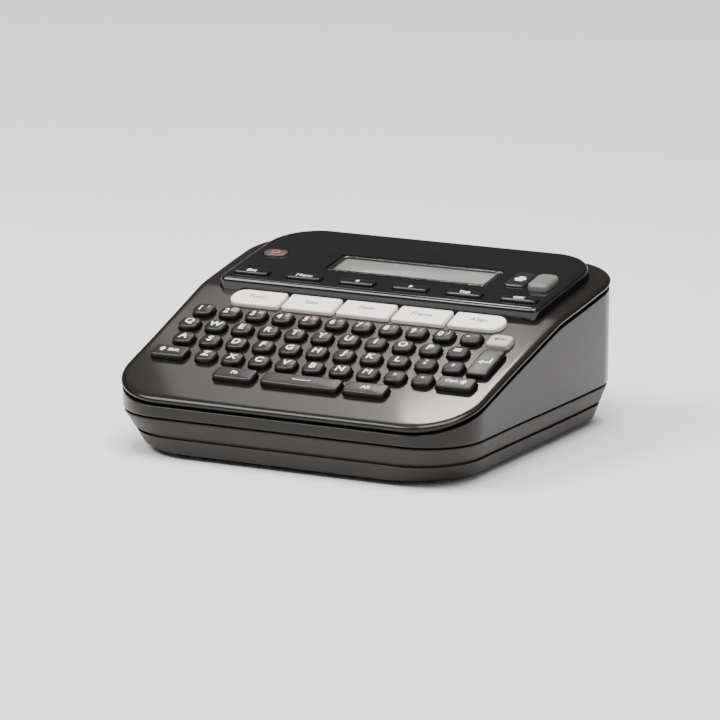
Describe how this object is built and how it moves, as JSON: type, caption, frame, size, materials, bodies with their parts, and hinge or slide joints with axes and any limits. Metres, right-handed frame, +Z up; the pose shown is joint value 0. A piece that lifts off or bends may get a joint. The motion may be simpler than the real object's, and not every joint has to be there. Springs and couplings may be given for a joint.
{
  "type": "desktop label maker",
  "caption": "Wedge-shaped desktop label maker: sloped keyboard deck, white shortcut keys, raised gloss display console, cutter lever, tape and battery bays under a hinged cover.",
  "frame": {"origin": "centre of the bounding box in plan, on the plane the feet stand on", "axes": "+X to the user's right, +Y to the back of the machine, +Z up"},
  "size_m": [0.157, 0.149, 0.0629],
  "materials": {
    "case_dark": "satin moulded ABS, very fine texture",
    "base_dark": "fine matte texture",
    "cover_dark": "fine matte texture",
    "console_gloss": "polished black",
    "window_clear": "clear polished lens",
    "lcd_glass": "reflective display, grey-green",
    "foot_rubber": "matte",
    "screw_steel": "zinc plated",
    "key_silicone": "satin coated silicone",
    "touch_white": "satin white",
    "function_gloss": "semi-gloss black",
    "cap_dark": "satin dark grey",
    "power_cap": "satin grey with a red symbol",
    "print_cap": "semi-gloss black",
    "lever_grey": "satin light grey-green",
    "key_board_green": "solder mask",
    "main_board_green": "solder mask",
    "jack_black": "moulded",
    "head_aluminium": "milled",
    "roller_rubber": "ground",
    "gear_white": "moulded acetal",
    "pinion_brass": "cut",
    "motor_steel": "plated can",
    "spindle_black": "moulded acetal",
    "plate_steel": "galvanised sheet",
    "blade_steel": "ground",
    "spring_steel": "drawn wire",
    "contact_nickel": "nickel plated sheet"
  },
  "bodies": {
    "machine": {"upper_case": "case_dark", "lower_case": "base_dark", "console_panel": "console_gloss", "lcd_window": "window_clear", "lcd_module": "lcd_glass", "foot_front_left": "foot_rubber", "foot_front_right": "foot_rubber", "foot_rear_left": "foot_rubber", "foot_rear_right": "foot_rubber", "case_screw_1": "screw_steel", "case_screw_2": "screw_steel", "case_screw_3": "screw_steel", "case_screw_4": "screw_steel", "key_mat": "key_silicone", "key_board": "key_board_green", "main_board": "main_board_green", "dc_jack": "jack_black", "print_head": "head_aluminium", "drive_motor": "motor_steel", "gear_plate": "plate_steel", "cutter_fixed_blade": "blade_steel", "cutter_spring": "spring_steel", "battery_link_left_1": "contact_nickel", "battery_link_left_2": "contact_nickel", "battery_link_left_3": "contact_nickel", "battery_terminal_1": "contact_nickel", "battery_link_right_1": "contact_nickel", "battery_link_right_2": "contact_nickel", "battery_terminal_2": "contact_nickel"},
    "cover": {"bottom_cover": "cover_dark"},
    "touch_key_1_body": {"touch_key_1": "touch_white"},
    "touch_key_2_body": {"touch_key_2": "touch_white"},
    "touch_key_3_body": {"touch_key_3": "touch_white"},
    "touch_key_4_body": {"touch_key_4": "touch_white"},
    "touch_key_5_body": {"touch_key_5": "touch_white"},
    "backspace_key_body": {"backspace_key": "cap_dark"},
    "enter_key_body": {"enter_key": "cap_dark"},
    "shift_key_left_body": {"shift_key_left": "cap_dark"},
    "shift_key_right_body": {"shift_key_right": "cap_dark"},
    "low_key_left_body": {"low_key_left": "cap_dark"},
    "space_key_body": {"space_key": "cap_dark"},
    "low_key_right_body": {"low_key_right": "cap_dark"},
    "function_key_1_body": {"function_key_1": "function_gloss"},
    "function_key_2_body": {"function_key_2": "function_gloss"},
    "function_key_3_body": {"function_key_3": "function_gloss"},
    "function_key_4_body": {"function_key_4": "function_gloss"},
    "function_key_5_body": {"function_key_5": "function_gloss"},
    "function_key_6_body": {"function_key_6": "function_gloss"},
    "power_button_body": {"power_button": "power_cap"},
    "print_button_body": {"print_button": "print_cap"},
    "cutter_lever_body": {"cutter_lever": "lever_grey"},
    "cutter_blade_body": {"cutter_blade": "blade_steel"},
    "platen": {"platen_roller": "roller_rubber", "platen_gear": "gear_white"},
    "idler_small": {"idler_gear_small": "gear_white"},
    "idler_large": {"idler_gear_large": "gear_white"},
    "pinion": {"motor_pinion": "pinion_brass"},
    "ribbon_drive": {"ribbon_spindle": "spindle_black", "ribbon_gear": "gear_white"}
  },
  "joints": [
    {"name": "cover_hinge", "type": "hinge", "parent": "machine", "child": "cover", "pos_m": [0, -0.038, 0.0037], "axis": [-1, 0, 0], "range_deg": [0, 75]},
    {"name": "touch_key_1_press", "type": "slide", "parent": "machine", "child": "touch_key_1_body", "axis": [0, 0.2856, -0.9584], "range_m": [0, 0.001], "stiffness_N_per_m": 600, "springref_m": -0.0006},
    {"name": "touch_key_2_press", "type": "slide", "parent": "machine", "child": "touch_key_2_body", "axis": [0, 0.2856, -0.9584], "range_m": [0, 0.001], "stiffness_N_per_m": 600, "springref_m": -0.0006},
    {"name": "touch_key_3_press", "type": "slide", "parent": "machine", "child": "touch_key_3_body", "axis": [0, 0.2856, -0.9584], "range_m": [0, 0.001], "stiffness_N_per_m": 600, "springref_m": -0.0006},
    {"name": "touch_key_4_press", "type": "slide", "parent": "machine", "child": "touch_key_4_body", "axis": [0, 0.2856, -0.9584], "range_m": [0, 0.001], "stiffness_N_per_m": 600, "springref_m": -0.0006},
    {"name": "touch_key_5_press", "type": "slide", "parent": "machine", "child": "touch_key_5_body", "axis": [0, 0.2856, -0.9584], "range_m": [0, 0.001], "stiffness_N_per_m": 600, "springref_m": -0.0006},
    {"name": "backspace_key_press", "type": "slide", "parent": "machine", "child": "backspace_key_body", "axis": [0, 0.2856, -0.9584], "range_m": [0, 0.001], "stiffness_N_per_m": 600, "springref_m": -0.0006},
    {"name": "enter_key_press", "type": "slide", "parent": "machine", "child": "enter_key_body", "axis": [0, 0.2856, -0.9584], "range_m": [0, 0.001], "stiffness_N_per_m": 600, "springref_m": -0.0006},
    {"name": "shift_key_left_press", "type": "slide", "parent": "machine", "child": "shift_key_left_body", "axis": [0, 0.2856, -0.9584], "range_m": [0, 0.001], "stiffness_N_per_m": 600, "springref_m": -0.0006},
    {"name": "shift_key_right_press", "type": "slide", "parent": "machine", "child": "shift_key_right_body", "axis": [0, 0.2856, -0.9584], "range_m": [0, 0.001], "stiffness_N_per_m": 600, "springref_m": -0.0006},
    {"name": "low_key_left_press", "type": "slide", "parent": "machine", "child": "low_key_left_body", "axis": [0, 0.2856, -0.9584], "range_m": [0, 0.001], "stiffness_N_per_m": 600, "springref_m": -0.0006},
    {"name": "space_key_press", "type": "slide", "parent": "machine", "child": "space_key_body", "axis": [0, 0.2856, -0.9584], "range_m": [0, 0.001], "stiffness_N_per_m": 600, "springref_m": -0.0006},
    {"name": "low_key_right_press", "type": "slide", "parent": "machine", "child": "low_key_right_body", "axis": [0, 0.2856, -0.9584], "range_m": [0, 0.001], "stiffness_N_per_m": 600, "springref_m": -0.0006},
    {"name": "function_key_1_press", "type": "slide", "parent": "machine", "child": "function_key_1_body", "axis": [0, 0.1483, -0.9889], "range_m": [0, 0.0008], "stiffness_N_per_m": 600, "springref_m": -0.0006},
    {"name": "function_key_2_press", "type": "slide", "parent": "machine", "child": "function_key_2_body", "axis": [0, 0.1483, -0.9889], "range_m": [0, 0.0008], "stiffness_N_per_m": 600, "springref_m": -0.0006},
    {"name": "function_key_3_press", "type": "slide", "parent": "machine", "child": "function_key_3_body", "axis": [0, 0.1483, -0.9889], "range_m": [0, 0.0008], "stiffness_N_per_m": 600, "springref_m": -0.0006},
    {"name": "function_key_4_press", "type": "slide", "parent": "machine", "child": "function_key_4_body", "axis": [0, 0.1483, -0.9889], "range_m": [0, 0.0008], "stiffness_N_per_m": 600, "springref_m": -0.0006},
    {"name": "function_key_5_press", "type": "slide", "parent": "machine", "child": "function_key_5_body", "axis": [0, 0.1483, -0.9889], "range_m": [0, 0.0008], "stiffness_N_per_m": 600, "springref_m": -0.0006},
    {"name": "function_key_6_press", "type": "slide", "parent": "machine", "child": "function_key_6_body", "axis": [0, 0.1483, -0.9889], "range_m": [0, 0.0008], "stiffness_N_per_m": 600, "springref_m": -0.0006},
    {"name": "power_button_press", "type": "slide", "parent": "machine", "child": "power_button_body", "axis": [0, 0.1483, -0.9889], "range_m": [0, 0.0008], "stiffness_N_per_m": 600, "springref_m": -0.0006},
    {"name": "print_button_press", "type": "slide", "parent": "machine", "child": "print_button_body", "axis": [0, 0.1483, -0.9889], "range_m": [0, 0.0008], "stiffness_N_per_m": 600, "springref_m": -0.0006},
    {"name": "cutter_lever_press", "type": "slide", "parent": "machine", "child": "cutter_lever_body", "axis": [0, 0, -1], "range_m": [0, 0.0025], "stiffness_N_per_m": 800, "springref_m": -0.001, "deforming": ["cutter_spring"]},
    {"name": "cutter_blade_swing", "type": "hinge", "parent": "machine", "child": "cutter_blade_body", "pos_m": [0.044, 0.0628, 0.04], "axis": [0, 1, 0], "range_deg": [0, 10.05]},
    {"name": "platen_spin", "type": "hinge", "parent": "machine", "child": "platen", "pos_m": [0.054, 0.044, 0.036], "axis": [0, 0, 1], "continuous": true},
    {"name": "idler_small_spin", "type": "hinge", "parent": "machine", "child": "idler_small", "pos_m": [0.033, 0.044, 0.036], "axis": [0, 0, 1], "continuous": true},
    {"name": "idler_large_spin", "type": "hinge", "parent": "machine", "child": "idler_large", "pos_m": [0.005, 0.044, 0.036], "axis": [0, 0, 1], "continuous": true},
    {"name": "pinion_spin", "type": "hinge", "parent": "machine", "child": "pinion", "pos_m": [-0.016, 0.044, 0.036], "axis": [0, 0, 1], "continuous": true},
    {"name": "ribbon_spin", "type": "hinge", "parent": "machine", "child": "ribbon_drive", "pos_m": [0.033, 0.021, 0.036], "axis": [0, 0, 1], "continuous": true}
  ],
  "couplings": [
    {"joint": "cutter_blade_swing", "follows": "cutter_lever_press", "rad_per_m": 69.8},
    {"joint": "idler_small_spin", "follows": "platen_spin", "ratio": -0.75},
    {"joint": "idler_large_spin", "follows": "platen_spin", "ratio": 0.5625},
    {"joint": "pinion_spin", "follows": "platen_spin", "ratio": -1.8},
    {"joint": "ribbon_spin", "follows": "platen_spin", "ratio": 0.81818}
  ]
}
